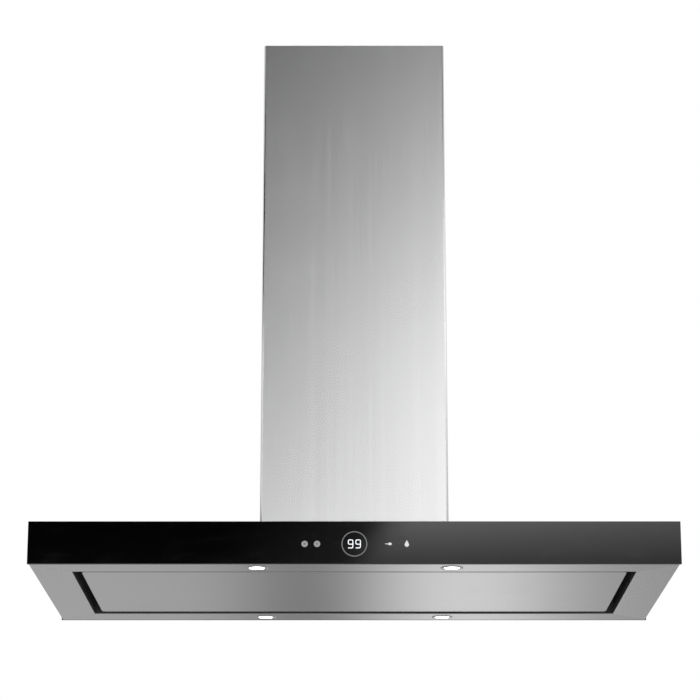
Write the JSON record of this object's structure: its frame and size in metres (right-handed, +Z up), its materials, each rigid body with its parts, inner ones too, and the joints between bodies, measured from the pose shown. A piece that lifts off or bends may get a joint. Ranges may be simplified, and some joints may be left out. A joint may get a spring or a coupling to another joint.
{
  "type": "island range hood",
  "caption": "Ceiling-hung island range hood: a low wide canopy with black glass faces and a swing-down perimeter suction panel, on a telescopic rectangular steel chimney.",
  "frame": {"origin": "middle of the ceiling bracket, on the ceiling face", "axes": "+Z up into the ceiling, +X along the width, the display faces -Y"},
  "size_m": [1.2, 0.6, 1.0812],
  "materials": {
    "column_steel": "vertical satin brushed stainless steel",
    "canopy_steel": "fine brushed stainless steel",
    "margin_steel_long": "fine brushed stainless steel, grain from left to right",
    "margin_steel_end": "fine brushed stainless steel, grain from front to rear",
    "panel_steel": "fine brushed stainless steel, grain from left to right",
    "black_glass": "tempered glass, black behind",
    "display_white": "lit display segments",
    "print_grey": "dimly lit printed symbols",
    "module_plastic": "black moulded carrier and board",
    "galvanised": "spangled galvanised sheet steel",
    "frame_paint": "black powder coated sheet steel",
    "fastener_steel": "zinc plated steel",
    "screw_stainless": "stainless screws",
    "filter_aluminium": "aluminium rim",
    "filter_mesh": "pleated expanded aluminium mesh",
    "latch_plastic": "moulded grey plastic",
    "black_plastic": "black moulded plastic",
    "spring_steel": "spring steel",
    "bezel_steel": "turned and polished ring",
    "lens": "frosted lit diffuser",
    "heat_sink": "cast aluminium",
    "box_plastic": "light grey moulded plastic",
    "capacitor_can": "drawn aluminium can",
    "cable_black": "black cable sheath",
    "impeller_plastic": "glass filled plastic",
    "motor_paint": "black painted motor can",
    "bonding_tape": "black structural foam tape"
  },
  "bodies": {
    "ceiling_mount": {"ceiling_bracket": "galvanised", "upper_frame": "galvanised", "upper_rail_bolts": "fastener_steel", "upper_chimney_front": "column_steel", "upper_chimney_rear": "column_steel", "upper_chimney_screws": "screw_stainless"},
    "hood": {"lower_frame": "galvanised", "height_clamp_bolts": "fastener_steel", "frame_foot_bolts": "fastener_steel", "lower_chimney_front": "column_steel", "lower_chimney_rear": "column_steel", "lower_chimney_screws": "screw_stainless", "chimney_foot_ring": "galvanised", "canopy_shell": "canopy_steel", "front_glass": "black_glass", "rear_glass": "black_glass", "glass_bonding_strips": "bonding_tape", "display_ring": "print_grey", "display_digits": "display_white", "touch_icons": "print_grey", "display_module": "module_plastic", "underside_front_strip": "margin_steel_long", "underside_rear_strip": "margin_steel_long", "underside_left_strip": "margin_steel_end", "underside_right_strip": "margin_steel_end", "filter_frame": "frame_paint", "grease_filter_left": "filter_aluminium", "grease_filter_center": "filter_aluminium", "grease_filter_right": "filter_aluminium", "filter_meshes": "filter_mesh", "latch_housings": "latch_plastic", "latch_springs": "spring_steel", "panel_hinge_brackets": "galvanised", "panel_hinge_pins": "fastener_steel", "magnet_catches": "black_plastic", "lamp_bezels": "bezel_steel", "lamp_lenses": "lens", "lamp_housings": "heat_sink", "lamp_clips": "spring_steel", "control_box": "box_plastic", "led_driver": "box_plastic", "motor_capacitor": "capacitor_can", "terminal_box": "black_plastic", "cable_gland": "latch_plastic", "wiring_harness": "cable_black", "blower_box": "galvanised", "blower_scroll": "galvanised", "blower_screws": "fastener_steel", "blower_motor": "motor_paint", "motor_bracket": "galvanised", "outlet_collar": "galvanised", "damper_pin": "fastener_steel"},
    "panel": {"perimeter_panel": "panel_steel", "panel_strikes": "fastener_steel"},
    "impeller_rotor": {"impeller": "impeller_plastic"},
    "damper_front": {"damper_flap_front": "black_plastic"},
    "damper_rear": {"damper_flap_rear": "black_plastic"},
    "latch_left": {"filter_latch_left": "black_plastic"},
    "latch_center": {"filter_latch_center": "black_plastic"},
    "latch_right": {"filter_latch_right": "black_plastic"}
  },
  "joints": [
    {"name": "height_adjust", "type": "slide", "parent": "ceiling_mount", "child": "hood", "axis": [0, 0, -1], "range_m": [0, 0.18]},
    {"name": "panel_swing", "type": "hinge", "parent": "hood", "child": "panel", "pos_m": [0, 0.203, -1.066], "axis": [1, 0, 0], "range_deg": [0, 90]},
    {"name": "impeller_spin", "type": "hinge", "parent": "hood", "child": "impeller_rotor", "pos_m": [0, -0.056, -0.905], "axis": [1, 0, 0], "continuous": true},
    {"name": "damper_front_swing", "type": "hinge", "parent": "hood", "child": "damper_front", "pos_m": [0, 0, -0.705], "axis": [-1, 0, 0], "range_deg": [0, 75]},
    {"name": "damper_rear_swing", "type": "hinge", "parent": "hood", "child": "damper_rear", "pos_m": [0, 0, -0.705], "axis": [1, 0, 0], "range_deg": [0, 75]},
    {"name": "latch_left_slide", "type": "slide", "parent": "hood", "child": "latch_left", "axis": [0, 1, 0], "range_m": [0, 0.008], "stiffness_N_per_m": 500, "springref_m": -0.006},
    {"name": "latch_center_slide", "type": "slide", "parent": "hood", "child": "latch_center", "axis": [0, 1, 0], "range_m": [0, 0.008], "stiffness_N_per_m": 500, "springref_m": -0.006},
    {"name": "latch_right_slide", "type": "slide", "parent": "hood", "child": "latch_right", "axis": [0, 1, 0], "range_m": [0, 0.008], "stiffness_N_per_m": 500, "springref_m": -0.006}
  ]
}
